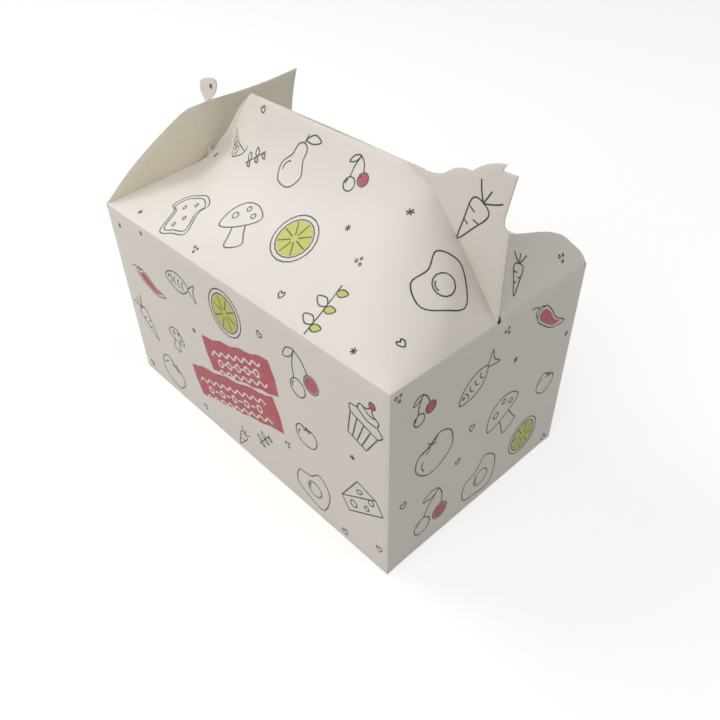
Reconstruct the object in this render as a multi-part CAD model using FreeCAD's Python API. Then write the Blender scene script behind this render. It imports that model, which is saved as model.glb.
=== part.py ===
import FreeCAD, Part
import math
import os

# A carry-out food carton, die cut and folded from one blank of food board.
# Frame: the origin is the middle of the footprint, X runs along the long walls, Z is up.
# Every panel is a flat piece of board, every crease a small six-sided bead between two panels.

Vector = FreeCAD.Vector

# Driving dimensions, in millimetres and degrees

# The body
length = 200.0
width = 120.0
wall_height = 105.0
board = 0.5
crease_radius = 0.34
crease_sides = 6
layer_gap = 0.4
stop_hole_diameter = 2.3

# The two long sides: a sloping roof panel that bends up into a leaning handle panel
handle_height = 52.0
handle_droop = 2.6
handle_left_inset = 50.0
handle_right_inset = 42.0
bend_left_inset = 61.5
bend_left_run = 18.7
bend_left_rise = 16.9
bend_right_inset = 64.0
bend_right_run = 11.0
bend_right_rise = 29.0
valley_rise = 7.0
wing_bulge = 3.2
wing_roll = 6.0
bend_softness = 6.5
corner_softness = 8.0

# The left end flap, and the hook that comes out through its slit
left_lean = 14.0
flap_shoulder_run = 45.0
flap_shoulder_rise = 37.0
flap_edge_bow = 2.2
flap_point_rise = 42.0
flap_point_setback = 1.0
flap_rear_waist = 2.5
slit_clearance = 0.5
hook_neck_width = 3.8
hook_neck_setback = 0.6
hook_neck_clearance = 1.0
hook_tilt = 5.0
hook_head_rise = 39.0
hook_head_height = 10.5
hook_head_left_inset = 1.3
hook_head_right_inset = 16.5
hook_head_rounding = 3.6

# The right end: front half leaned in and scored, rear half standing, a slit between them
right_lean = 25.0
score_inset = 23.0
score_rise = 28.0
rear_flap_rise = 31.0
rear_shoulder_run = 11.7
rear_shoulder_rise = 16.1
rear_edge_bow = 1.4
rear_corner_bow = 2.6

# The hook tab above the score
tab_step_run = 26.0
tab_step_rise = 55.5
tab_top_rise = 62.5
tab_horn_setback = 4.7
tab_notch_depth = 3.5
tab_corner_rise = 60.0
tab_waist_setback = 3.2
tab_waist_rise = 42.0
tab_waist_height = 3.0

# The bottom and the glued side seam
seam_gap = 0.5
seam_step = 18.0
seam_hook_run = 14.0
dust_flap_run = 62.0
dust_flap_taper = 12.0
glue_flap_width = 15.0
glue_flap_end_gap = 4.0
glue_flap_taper = 5.0

# Places that follow from the sizes above
crease_proud = crease_radius - board / 2
half_length = length / 2 - crease_proud
half_width = width / 2 - crease_proud
hinge_x = half_length - board / 2
hinge_y = half_width - board / 2
layer_y = (layer_gap + board) / 2


def at(x, y, rise):
    """A point at this height above the eaves."""
    return Vector(x, y, wall_height + rise)


def plate(outline):
    """Board of full thickness, half of it each side of a closed flat outline."""
    face = Part.Face(outline)
    normal = face.normalAt(0, 0)
    face.translate(normal * (-board / 2))
    return face.extrude(normal * board)


def panel(*corners):
    """A flat panel between corner points."""
    return plate(Part.makePolygon(list(corners) + [corners[0]]))


def crease(start, end):
    """The bead along a fold, run on a little past both ends so that it closes the corners."""
    along = end - start
    along.normalize()
    first = along.cross(Vector(0, 0, 1)) * crease_radius
    overrun = along * (crease_radius / 2)
    corners = []
    for index in range(crease_sides + 1):
        turn = FreeCAD.Rotation(along, 360.0 * index / crease_sides)
        corners.append(start - overrun + turn.multVec(first))
    section = Part.Face(Part.makePolygon(corners))
    return section.extrude(end - start + overrun * 2)


def creases(*pairs):
    """A bead between each pair of points."""
    return [crease(start, end) for start, end in pairs]


def towards(start, end, distance):
    """The point this far from start on the way to end."""
    way = end - start
    way.normalize()
    return start + way * distance


def bow(start, end, amount, side):
    """An arc from start to end that stands off its chord by amount, towards side."""
    middle = (start + end) * 0.5 + side * amount
    return Part.Arc(start, middle, end).toShape()


def line(start, end):
    return Part.LineSegment(start, end).toShape()


def body():
    """Four walls, with the bottom closed by two long flaps over two short ones."""
    outer = Part.makeBox(2 * half_length, 2 * half_width, wall_height, Vector(-half_length, -half_width, 0))
    inside = Vector(board - half_length, board - half_width, board)
    hollow = Part.makeBox(2 * (half_length - board), 2 * (half_width - board), wall_height, inside)
    walls = outer.cut(hollow)
    return walls.cut(bottom_seam()).multiFuse(dust_flaps() + [glue_flap()])


def bottom_seam():
    """The stepped gap where the two long bottom flaps meet and hook into each other."""
    reach = half_length - 2 * board
    run = seam_hook_run / 2
    step = seam_step / 2
    path = [(-reach, step), (-run, step), (-run / 2, -step), (run / 2, step), (run, -step), (reach, -step)]
    strokes = []
    for first, second in zip(path, path[1:]):
        start = Vector(first[0], first[1], -board)
        run_vector = Vector(second[0], second[1], -board) - start
        stroke = Part.makeBox(run_vector.Length + seam_gap, seam_gap, 3 * board)
        stroke.translate(Vector(-seam_gap / 2, -seam_gap / 2, 0))
        turn = math.degrees(math.atan2(run_vector.y, run_vector.x))
        stroke.rotate(Vector(), Vector(0, 0, 1), turn)
        stroke.translate(start)
        strokes.append(stroke)
    return strokes[0].multiFuse(strokes[1:])


def dust_flaps():
    """The two short bottom flaps, glued down on the long ones."""
    flaps = []
    for end in (-1, 1):
        hinge = end * (half_length - board)
        tip = end * (half_length - dust_flap_run)
        side = half_width - board
        corners = [Vector(hinge, -side, board), Vector(hinge, side, board)]
        corners += [Vector(tip, side - dust_flap_taper, board), Vector(tip, dust_flap_taper - side, board)]
        outline = Part.makePolygon(corners + [corners[0]])
        flaps.append(Part.Face(outline).extrude(Vector(0, 0, board)))
    return flaps


def glue_flap():
    """The strip folded off the left wall and glued inside the back one."""
    inner_y = half_width - board
    hinge = board - half_length
    tip = hinge + glue_flap_width
    low = 2 * board + glue_flap_end_gap
    high = wall_height - glue_flap_end_gap
    corners = [Vector(hinge, inner_y, low), Vector(tip, inner_y, low + glue_flap_taper)]
    corners += [Vector(tip, inner_y, high - glue_flap_taper), Vector(hinge, inner_y, high)]
    outline = Part.makePolygon(corners + [corners[0]])
    return Part.Face(outline).extrude(Vector(0, -board, 0))


def side_points(side):
    """Corner points of one long side's roof and handle; side is -1 in front, 1 behind."""
    top = side * layer_y
    left, right = -hinge_x, hinge_x
    points = {
        "eave_left": at(left, side * hinge_y, 0),
        "eave_right": at(right, side * hinge_y, 0),
        "bend_left": at(left + bend_left_inset, side * bend_left_run, bend_left_rise),
        "bend_right": at(right - bend_right_inset, side * bend_right_run, bend_right_rise),
        "top_left": at(left + handle_left_inset, top, handle_height),
        "top_right": at(right - handle_right_inset, top, handle_height - handle_droop),
        "valley_left": flap_point(-1, side * layer_y, valley_rise),
        "valley_right": flap_point(1, side * layer_y, valley_rise),
    }
    if side < 0:
        points["tab_start"] = points["top_right"]
        points["top_right"] = towards(points["top_right"], points["top_left"], corner_softness)
    for end in ("left", "right"):
        bend = points["bend_" + end]
        points["low_" + end] = towards(bend, points["eave_" + end], bend_softness)
        points["high_" + end] = towards(bend, points["top_" + end], bend_softness)
    return points


def flap_point(end, y, rise):
    """A point on the leaning plane of an end flap; end is -1 on the left, 1 on the right."""
    lean = left_lean if end < 0 else right_lean
    return at(end * (hinge_x - rise * math.tan(math.radians(lean))), y, rise)


def roof_and_handle(points):
    """The twisted roof, its soft bend and the leaning handle panel of one side."""
    p = points
    pieces = [
        panel(p["eave_left"], p["eave_right"], p["low_right"]),
        panel(p["eave_left"], p["low_right"], p["low_left"]),
        panel(p["low_left"], p["low_right"], p["high_right"]),
        panel(p["low_left"], p["high_right"], p["high_left"]),
        panel(p["high_left"], p["high_right"], p["top_right"]),
        panel(p["high_left"], p["top_right"], p["top_left"]),
    ]
    folds = creases(
        (p["eave_left"], p["eave_right"]),
        (p["eave_left"], p["low_right"]),
        (p["low_left"], p["low_right"]),
        (p["low_left"], p["high_right"]),
        (p["high_left"], p["high_right"]),
        (p["high_left"], p["top_right"]),
    )
    return pieces + folds


def tucked_corner(points, end):
    """The web and the wing that fold in behind an end flap; the left wings roll back to the hook."""
    names = ("eave_", "low_", "high_", "top_", "valley_")
    eave, low, high, top, valley = [points[name + end] for name in names]
    along = top - valley
    across = along.cross(high - valley).cross(along)
    across.normalize()
    middle = (valley + top) * 0.5 - across * wing_bulge
    if end == "left":
        middle.y += wing_roll
    pieces = [panel(eave, low, valley), panel(low, high, valley)]
    pieces += [panel(valley, middle, high), panel(middle, top, high)]
    folds = creases((eave, low), (low, high), (high, top))
    folds += creases((eave, valley), (low, valley), (high, valley), (middle, high))
    return pieces + folds


def left_flap():
    """The left end flap: a bowed front edge, a level top and a pointed rear corner."""
    foot, heel = flap_point(-1, -hinge_y, 0), flap_point(-1, hinge_y, 0)
    shoulder = flap_point(-1, flap_shoulder_run - hinge_y, flap_shoulder_rise)
    tip = flap_point(-1, hinge_y - flap_point_setback, flap_point_rise)
    up = Vector(math.sin(math.radians(left_lean)), 0, math.cos(math.radians(left_lean)))
    outward = up - Vector(0, 1, 0)
    outward.normalize()
    edges = [bow(foot, shoulder, flap_edge_bow, outward), line(shoulder, tip)]
    edges += [bow(tip, heel, flap_rear_waist, Vector(0, -1, 0)), line(heel, foot)]
    return plate(Part.Wire(edges)).cut(hook_slit())


def hook_plane(x, rise):
    """A point on the hook's own plane, which tilts back from the front sheet."""
    climb = rise - valley_rise / 2
    return at(x, climb * math.tan(math.radians(hook_tilt)) - layer_y, rise)


def hook():
    """The locking hook: a neck out through the flap's slit and up beside it, and a wide head."""
    outer = hook_neck_setback - half_length
    inner = outer + hook_neck_width
    root = inner + hook_neck_width
    low, knee = valley_rise / 2, 2 * valley_rise

    def beside_flap(rise):
        return flap_point(-1, 0, rise).x - hook_neck_clearance

    neck_top = beside_flap(hook_head_rise)
    left, right = hook_head_left_inset - half_length, hook_head_right_inset - half_length
    crown = hook_head_rise + hook_head_height
    bend = hook_head_rounding
    neck = [(outer, low), (root, low), (root, low + valley_rise), (inner, knee)]
    neck += [(beside_flap(knee + hook_neck_width), knee + hook_neck_width), (neck_top, hook_head_rise)]
    head = [(right - bend / 2, crown - 2 * bend), (right, crown - bend), (right - bend / 2, crown)]
    head += [(right - bend, crown), (left + bend, crown - bend / 2), (left, crown - 1.5 * bend)]
    head += [(left + bend / 2, hook_head_rise + bend / 2), (neck_top - hook_neck_width, hook_head_rise)]
    outline = neck + head + [(outer, hook_head_rise - 2 * valley_rise)]
    return panel(*[hook_plane(x, rise) for x, rise in outline])


def hook_slit():
    """The slit in the left flap, as wide as the hook's neck with room around it."""
    outer = hook_neck_setback - half_length - slit_clearance
    inner = outer + hook_neck_width + 2 * slit_clearance
    low = valley_rise / 2 - slit_clearance
    high = 2 * valley_rise + hook_neck_width
    corners = [hook_plane(outer, low), hook_plane(inner, low), hook_plane(inner, high), hook_plane(outer, high)]
    face = Part.Face(Part.makePolygon(corners + [corners[0]]))
    half = Vector(0, board / 2 + slit_clearance, 0)
    face.translate(half * -1)
    return face.extrude(half * 2)


def right_front(points):
    """The leaned-in front half of the right end: a soft corner, the scored half and its tab."""
    eave, low, high, top = [points[name + "right"] for name in ("eave_", "low_", "high_", "top_")]
    middle = at(hinge_x, -layer_y, 0)
    score_top = at(hinge_x - score_inset, -layer_y, score_rise)
    score_end = towards(points["tab_start"], score_top, corner_softness)
    pieces = [
        panel(eave, low, high, top),
        panel(eave, top, score_end),
        panel(eave, score_end, score_top),
        panel(eave, score_top, middle),
        hook_tab(points["tab_start"], [middle, score_top, score_end, top]),
    ]
    pieces += creases((eave, low), (low, high), (high, top))
    pieces += creases((eave, top), (eave, score_end), (eave, score_top))
    pieces += creases((middle, score_top), (score_top, score_end), (score_end, top))
    return pieces


def hook_tab(top, fold):
    """The strip beside the slit and the hooked tab above it, cut in one outline beyond its fold."""
    middle, score_top, score_end, handle_end = fold
    y = -layer_y
    edge = hinge_x
    step = at(top.x + tab_step_run, y, tab_step_rise)
    horn = at(edge - tab_horn_setback, y, tab_top_rise)
    throat = at(edge - tab_horn_setback - 1, y, tab_top_rise - tab_notch_depth)
    corner = at(edge, y, tab_corner_rise)
    waist = at(edge - tab_waist_setback, y, tab_waist_rise)
    below = at(edge, y, tab_waist_rise - tab_waist_height)
    up, down = Vector(0, 0, 1), Vector(0, 0, -1)
    edges = [
        line(middle, score_top),
        line(score_top, score_end),
        line(score_end, handle_end),
        line(handle_end, top),
        bow(top, step, 0.08 * tab_step_run, up),
        bow(step, horn, 0.06 * tab_step_run, up),
        bow(horn, throat, 0.2 * tab_notch_depth, Vector(-1, 0, 0)),
        line(throat, corner),
        line(corner, waist),
        bow(waist, below, 0.2 * tab_waist_height, down),
        line(below, middle),
    ]
    return plate(Part.Wire(edges))


def right_rear():
    """The standing rear half of the right end flap, with its bowed rear edge."""
    front_foot, heel = flap_point(1, layer_y, 0), flap_point(1, hinge_y, 0)
    front_top = flap_point(1, layer_y, rear_flap_rise)
    shoulder = flap_point(1, hinge_y - rear_shoulder_run, rear_shoulder_rise)
    up_the_flap = flap_point(1, 0, 1) - flap_point(1, 0, 0)
    up_the_flap.normalize()
    edges = [
        line(front_foot, front_top),
        bow(front_top, shoulder, rear_edge_bow, up_the_flap),
        bow(shoulder, heel, rear_corner_bow, up_the_flap),
        line(heel, front_foot),
    ]
    return plate(Part.Wire(edges))


def carton():
    """The whole folded blank as one solid."""
    front, back = side_points(-1), side_points(1)
    pieces = roof_and_handle(front) + roof_and_handle(back)
    pieces += tucked_corner(front, "left") + tucked_corner(back, "left") + tucked_corner(back, "right")
    pieces += right_front(front)
    pieces += [right_rear(), left_flap(), hook()]
    pieces += creases(*[(flap_point(end, -hinge_y, 0), flap_point(end, hinge_y, 0)) for end in (-1, 1)])
    shape = body().multiFuse(pieces)
    return shape.cut(stop_hole()).removeSplitter()


def stop_hole():
    """The punched hole at the foot of the slit, square to the eave between wall and flap."""
    reach = 2 * stop_hole_diameter
    outward = Vector(1, 0, 1)
    start = at(hinge_x, 0, 0) - outward * reach
    return Part.makeCylinder(stop_hole_diameter / 2, 2 * reach * outward.Length, start, outward)


os.makedirs("parts", exist_ok=True)
result = carton()
solids = result.Solids
print("solids", len(solids), "valid", result.isValid(), "volume mm3", round(result.Volume, 1))
print("box", result.BoundBox)
result.exportStep("parts/folded_carton.step")
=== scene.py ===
import math
import random

import bmesh
import bpy
import numpy as np
from bpy.props import FloatProperty, FloatVectorProperty, IntProperty, PointerProperty
from bpy.types import Operator, Panel, PropertyGroup
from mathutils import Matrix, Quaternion, Vector
from mathutils.geometry import delaunay_2d_cdt


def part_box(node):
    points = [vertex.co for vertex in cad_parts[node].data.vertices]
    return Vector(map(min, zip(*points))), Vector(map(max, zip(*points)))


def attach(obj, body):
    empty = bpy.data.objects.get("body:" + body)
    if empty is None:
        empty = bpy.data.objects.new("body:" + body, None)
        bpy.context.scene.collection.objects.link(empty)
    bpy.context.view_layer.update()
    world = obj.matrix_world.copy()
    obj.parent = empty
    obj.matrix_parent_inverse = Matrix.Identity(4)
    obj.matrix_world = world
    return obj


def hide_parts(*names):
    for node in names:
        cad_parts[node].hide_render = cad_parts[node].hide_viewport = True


bl_info = {
    "name": "Folded Food Carton",
    "version": (1, 0, 0),
    "blender": (4, 5, 0),
    "location": "View3D > Sidebar > Carton",
    "description": "Dresses a carry-out food carton: folded board, soft bends and line-drawn print",
    "category": "Object",
}

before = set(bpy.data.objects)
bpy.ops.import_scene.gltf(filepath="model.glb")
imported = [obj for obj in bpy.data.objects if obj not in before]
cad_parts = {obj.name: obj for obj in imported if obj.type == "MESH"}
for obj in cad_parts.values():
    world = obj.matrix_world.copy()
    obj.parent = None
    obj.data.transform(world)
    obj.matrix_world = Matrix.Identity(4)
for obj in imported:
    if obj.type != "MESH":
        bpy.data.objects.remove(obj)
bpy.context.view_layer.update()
CAD_NODE = "folded_carton"
CAD_BODY = "root"
NODE_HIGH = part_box(CAD_NODE)[1]
MM = 0.001
UP = Vector((0, 0, 1))

# Places on the blank, in millimetres: the distance in from an end wall, for the bends the distance
# from the middle plane too, and the height above the eaves

BEND_LEFT = (61.5, 18.7, 16.9)
BEND_RIGHT = (64, 11, 29)
TOP_LEFT = (50, 52)
TOP_RIGHT = (42, 49.4)
VALLEY_RISE = 7
SCORE_TOP = (23, 28)
TAB_STEP = ((45, 48.8), (36.5, 49.4), (32.6, 50.6), (29.3, 53.0))
TAB_CREST = (19.2, 55.9)
TAB_HORN = (4.4, 62.7)
TAB_NOTCH = (5.5, 59.1)
TAB_CORNER = ((-0.2, 60.1), (0, 59.2))
TAB_WAIST = (2.8, 43.4)
TAB_FOOT = ((0, 39.2), (0, 38.6))
HOOK_NECK = ((0.4, 3.5), (8.0, 3.5), (8.0, 10.5), (4.2, 14.0))
HOOK_FACE = ((11.6, 40.2), (14.9, 43.8), (16.3, 46.8), (15.9, 49.2), (13.8, 50.0), (9.4, 49.5), (4.0, 47.9),
             (1.7, 46.2), (0.9, 43.8), (1.3, 41.4), (2.8, 39.4), (5.2, 37.6), (0.4, 25))

# Edges of the end flaps, in millimetres: the distance from the middle plane and the height above the
# eaves, or the height alone; the last is how far the hook stands out from the left flap

REAR_EDGE = ((0.6, 30.2), (11, 28.2), (18.1, 26.3), (23.1, 24.8), (28.9, 23.2), (34.9, 21.6), (39.8, 20.0),
             (44, 18.2), (48.1, 16.0), (51.0, 13.6), (52.6, 11.6), (55.0, 9.3), (57.6, 6.6), (59.2, 3.6))
LEFT_CROWN_RISE = 38.6
LEFT_TIP_RISE = 42
SLIT_LOW = 3.0
SLIT_HIGH = 17.8
HOOK_STANDOFF = 1.0

# Other fixed sizes of the folded blank

LEFT_LEAN = math.radians(14)
RIGHT_LEAN = math.radians(25)
HOOK_TILT = math.radians(5)
HALF_SLIT = 0.4 * MM
CORNER_SOFTNESS = 8 * MM
WING_BULGE = 3.2 * MM
WEB_SETBACK = Vector((0.8 * MM, 0, 0))
STOP_RADIUS = 1.15 * MM
BOTTOM_TUCK = 2 * MM
BOTTOM_MESH_STEP = 8 * MM
SEAM_HALF_GAP = 0.25 * MM
SEAM_STEP = 9 * MM
DUST_FLAP_RUN = 62 * MM
DUST_FLAP_TAPER = 12 * MM

# How far the smoothing reaches to each side of a bend

CLOSE_BEND = 6 * MM
MIDDLE_BEND = 7 * MM
WIDE_BEND = 14 * MM

# Where the print hovers before it drops on the board, and how finely it follows a bend

HOVER = 9 * MM
LINE_STEP = 1.2 * MM
FIELD_STEP = 1.6 * MM

# The scatter of the print

TRIES = 260
FILLER_SIZE = 6.5 * MM
LARGEST_TURN = 38

# Points closer than this are one point, and two planes closer than a hair are one plane

SAME_PLACE = 2e-6
HAIR = 0.01 * MM


def length(name, description, default):
    """A length among the settings, in metres."""
    return FloatProperty(name=name, description=description, default=default, unit="LENGTH")


def tint(name, description, default):
    """A colour among the settings, as linear light."""
    return FloatVectorProperty(name=name, description=description, default=default, subtype="COLOR")


class CartonSizes(PropertyGroup):
    """Sizes of the folded blank."""

    wall_height: length("Wall height", "From the table to the eaves", 0.105)
    board: length("Board", "Thickness of the board", 0.0005)
    crease: length("Crease", "How far a crease stands out from the middle of the board", 0.00034)
    layer_gap: length("Layer gap", "Room between layers that touch", 0.0004)
    bend_softness: length("Bend softness", "How far a soft bend reaches to each side", 0.0065)
    wing_roll: length("Wing roll", "How far the sheets roll back beside the hook", 0.0065)
    mesh_step: length("Mesh step", "Spacing of points over the board", 0.0036)
    wall_bulge: length("Wall bulge", "How far the walls bow out at their middle", 0.0006)
    waviness: length("Waviness", "Slow unevenness of the board", 0.00025)
    softening: IntProperty(
        name="Softening", description="Rounds of smoothing at the soft bends", default=70, min=0)


class PrintSizes(PropertyGroup):
    """Sizes of the printed artwork."""

    line_width: length("Line width", "Width of a drawn line", 0.00062)
    ink_height: length("Ink height", "How far the ink stands on the board", 0.00004)
    motif_size: length("Motif size", "Length of a drawn motif", 0.027)
    motif_pitch: length("Motif pitch", "Distance between motifs", 0.031)
    seed: IntProperty(name="Seed", description="Chooses the layout of the motifs", default=5)


class CartonColours(PropertyGroup):
    """Colours of board and inks, as linear light."""

    outside: tint("Outside", "Coated side", (0.795, 0.755, 0.708))
    # The inside tint is paler than the board's own colour. It was raised to stand in for light that shines
    # through the thin board and bounces off the roof onto the left flap's inner face, so it is partly own
    # colour and partly painted light.
    inside: tint("Inside", "Uncoated side", (0.880, 0.850, 0.720))
    core: tint("Core", "Cut edge", (0.740, 0.705, 0.640))
    black: tint("Black ink", "Drawn lines", (0.022, 0.020, 0.021))
    green: tint("Green ink", "Yellow-green fields", (0.520, 0.545, 0.075))
    red: tint("Red ink", "Rose red fields", (0.440, 0.062, 0.085))


# Key points and panels of the folded blank

def shape_points(sizes):
    """Corners of every panel, in metres, from the sizes of the carton."""
    hx = NODE_HIGH.x - sizes.crease
    hy = NODE_HIGH.y - sizes.crease
    eave = sizes.wall_height
    layer = (sizes.layer_gap + sizes.board) / 2
    points = {"hx": hx, "hy": hy, "eave": eave, "layer": layer}

    def at(x, y, rise):
        return Vector((x, y, eave + rise * MM))

    for name, side in (("front", -1), ("back", 1)):
        points[name] = {
            "eave_left": at(-hx, side * hy, 0),
            "eave_right": at(hx, side * hy, 0),
            "bend_left": at(-hx + BEND_LEFT[0] * MM, side * BEND_LEFT[1] * MM, BEND_LEFT[2]),
            "bend_right": at(hx - BEND_RIGHT[0] * MM, side * BEND_RIGHT[1] * MM, BEND_RIGHT[2]),
            "top_left": at(-hx + TOP_LEFT[0] * MM, side * layer, TOP_LEFT[1]),
            "top_right": at(hx - TOP_RIGHT[0] * MM, side * layer, TOP_RIGHT[1]),
            "valley_left": left_plane(points, side * layer, VALLEY_RISE) + WEB_SETBACK,
            "valley_right": right_plane(points, side * layer, VALLEY_RISE) - WEB_SETBACK,
        }
        corners = points[name]
        if side < 0:
            corners["tab_start"] = corners["top_right"]
            corners["top_right"] = towards(corners["top_right"], corners["top_left"], CORNER_SOFTNESS)
        for end in ("left", "right"):
            bend = corners["bend_" + end]
            corners["low_" + end] = towards(bend, corners["eave_" + end], sizes.bend_softness)
            corners["high_" + end] = towards(bend, corners["top_" + end], sizes.bend_softness)
    return points


def towards(start, end, distance):
    """The point this far from start on the way to end."""
    return start + (end - start).normalized() * distance


def left_plane(points, y, rise):
    """A point on the left end flap; rise is in millimetres above the eave."""
    return Vector((-points["hx"] + rise * MM * math.tan(LEFT_LEAN), y, points["eave"] + rise * MM))


def right_plane(points, y, rise):
    """A point on the rear half of the right end flap."""
    return Vector((points["hx"] - rise * MM * math.tan(RIGHT_LEAN), y, points["eave"] + rise * MM))


def bowed(start, end, amount, side, steps=8):
    """Points from start towards end, without end, on a curve that stands off its chord."""
    made = []
    for index in range(steps):
        share = index / steps
        made.append(start.lerp(end, share) + side * amount * 4 * share * (1 - share))
    return made


class Blank:
    """The folded sheet's middle surface, collected panel by panel."""

    def __init__(self, step):
        self.step = step
        self.mesh = bmesh.new()
        self.known = {}
        self.folds = []
        self.fixed = []

    def vertex(self, place):
        """The vertex at a place, shared by every panel that meets there."""
        key = tuple(round(value / SAME_PLACE) for value in place)
        if key not in self.known:
            self.known[key] = self.mesh.verts.new(place)
        return self.known[key]

    def panel(self, outline, outward, step=None):
        """A flat panel inside a closed outline, meshed evenly, facing outward."""
        step = step or self.step
        edge = []
        for start, end in zip(outline, outline[1:] + outline[:1]):
            low, high = (start, end) if tuple(start) < tuple(end) else (end, start)
            count = max(1, round((high - low).length / step))
            run = [low.lerp(high, index / count) for index in range(count + 1)]
            if low is not start:
                run.reverse()
            edge += run[:-1]
        normal = Vector()
        for first, second in zip(edge, edge[1:] + edge[:1]):
            normal += first.cross(second)
        normal.normalize()
        across = normal.orthogonal().normalized()
        along = normal.cross(across)
        origin = edge[0]
        flat = [Vector(((p - origin).dot(across), (p - origin).dot(along))) for p in edge]
        count = len(flat)
        inner = self.inner_points(flat, step)
        made = delaunay_2d_cdt(flat + inner, [], [list(range(count))], 1, 1e-7)
        places = [origin + across * p.x + along * p.y for p in made[0]]
        for index, sources in enumerate(made[3]):
            if sources and sources[0] < count:
                places[index] = edge[sources[0]]
        turned = normal.dot(outward) < 0
        for corners in made[2]:
            verts = [self.vertex(places[index]) for index in corners]
            if turned:
                verts.reverse()
            if len(set(verts)) == 3 and not self.mesh.faces.get(verts):
                self.mesh.faces.new(verts)

    @staticmethod
    def inner_points(flat, step):
        """A staggered grid of points inside the outline and clear of it."""
        outline = np.array([tuple(p) for p in flat])
        nxt = np.roll(outline, -1, axis=0)
        low, high = outline.min(axis=0), outline.max(axis=0)
        rows = np.arange(low[1] + step * 0.6, high[1], step * 0.866)
        made = []
        for number, y in enumerate(rows):
            for x in np.arange(low[0] + step * (0.4 + 0.5 * (number % 2)), high[0], step):
                crosses = (outline[:, 1] > y) != (nxt[:, 1] > y)
                rise = np.where(crosses, nxt[:, 1] - outline[:, 1], 1.0)
                reach = outline[:, 0] + (y - outline[:, 1]) / rise * (nxt[:, 0] - outline[:, 0])
                if np.count_nonzero(crosses & (reach > x)) % 2 == 0:
                    continue
                if np.hypot(outline[:, 0] - x, outline[:, 1] - y).min() > step * 0.62:
                    made.append(Vector((x, y)))
        return made


def bottom_panels(blank, points, sizes):
    """Two long flaps that hook at a stepped seam, over two short ones glued inside."""
    hx, hy = points["hx"], points["hy"]
    low, inner = sizes.board / 2, sizes.board * 1.5
    end_x, hook_x, notch_x = hx - BOTTOM_TUCK / 2, 7 * MM, 3.5 * MM
    path = [(-end_x, 1), (-hook_x, 1), (-notch_x, -1), (notch_x, 1), (hook_x, -1), (end_x, -1)]
    for side in (-1, 1):
        seam = [Vector((x, way * SEAM_STEP + side * SEAM_HALF_GAP, low)) for x, way in path]
        corners = [Vector((-hx, side * hy, low))] + seam + [Vector((hx, side * hy, low))]
        blank.panel(corners, -UP, BOTTOM_MESH_STEP)
    wide, narrow = hy - BOTTOM_TUCK, hy - DUST_FLAP_TAPER
    for end in (-1, 1):
        tip = end * (hx - DUST_FLAP_RUN)
        corners = [Vector((end * hx, -wide, inner)), Vector((end * hx, wide, inner))]
        corners += [Vector((tip, narrow, inner)), Vector((tip, -narrow, inner))]
        blank.panel(corners, -UP, BOTTOM_MESH_STEP)


def wall_panels(blank, points, sizes):
    """Four walls; the right one has the lower half of the punched stop hole."""
    hx, hy, eave = points["hx"], points["hy"], points["eave"]
    low, inner = sizes.board / 2, sizes.board * 1.5
    for side in (-1, 1):
        corners = [Vector((-hx, side * hy, low)), Vector((hx, side * hy, low))]
        corners += [Vector((hx, side * hy, eave)), Vector((-hx, side * hy, eave))]
        blank.panel(corners, Vector((0, side, 0)))
    for end in (-1, 1):
        x = end * hx
        corners = [Vector((x, -hy, low)), Vector((x, -hy + BOTTOM_TUCK, inner))]
        corners += [Vector((x, hy - BOTTOM_TUCK, inner)), Vector((x, hy, low)), Vector((x, hy, eave))]
        if end > 0:
            for index in range(7):
                turn = math.pi * index / 6
                corners.append(Vector((x, STOP_RADIUS * math.cos(turn), eave - STOP_RADIUS * math.sin(turn))))
        corners.append(Vector((x, -hy, eave)))
        blank.panel(corners, Vector((end, 0, 0)))
        blank.fixed.append((Vector((x, -hy, eave)), Vector((x, hy, eave))))
        for side in (-1, 1):
            blank.fixed.append((Vector((x, side * hy, 0)), Vector((x, side * hy, eave))))


def long_side(blank, p, side):
    """The twisted roof, its soft bend and the leaning handle panel of one long side."""
    out = Vector((0, side, 1))
    for below, above in (("eave_", "low_"), ("low_", "high_"), ("high_", "top_")):
        left, right = p[below + "left"], p[below + "right"]
        blank.panel([left, right, p[above + "right"]], out)
        blank.panel([left, p[above + "right"], p[above + "left"]], out)
    blank.fixed.append((p["eave_left"], p["eave_right"]))
    blank.folds += [
        (p["low_left"], p["low_right"], CLOSE_BEND),
        (p["high_left"], p["high_right"], CLOSE_BEND),
        (p["eave_left"], p["low_right"], WIDE_BEND),
        (p["high_left"], p["top_right"], WIDE_BEND),
    ]


def tucked_corner(blank, p, end, side):
    """The web and the wing that fold in behind an end flap."""
    names = ("eave_", "low_", "high_", "top_", "valley_")
    eave, low, high, top, valley = [p[name + end] for name in names]
    blank.panel([eave, low, valley], Vector((0, side * 0.2, 1)))
    blank.panel([low, high, valley], Vector((0, side * 0.2, 1)))
    along = top - valley
    across = along.cross(high - valley).cross(along).normalized()
    outline = bowed(valley, top, -WING_BULGE, across, 12) + [top, high]
    blank.panel(outline, Vector((0, side, 0.6)))
    blank.folds += [
        (eave, low, CLOSE_BEND),
        (low, high, MIDDLE_BEND),
        (low, valley, CLOSE_BEND),
        (high, valley, CLOSE_BEND),
        (high, top, MIDDLE_BEND),
    ]
    blank.fixed.append((eave, valley))


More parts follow.
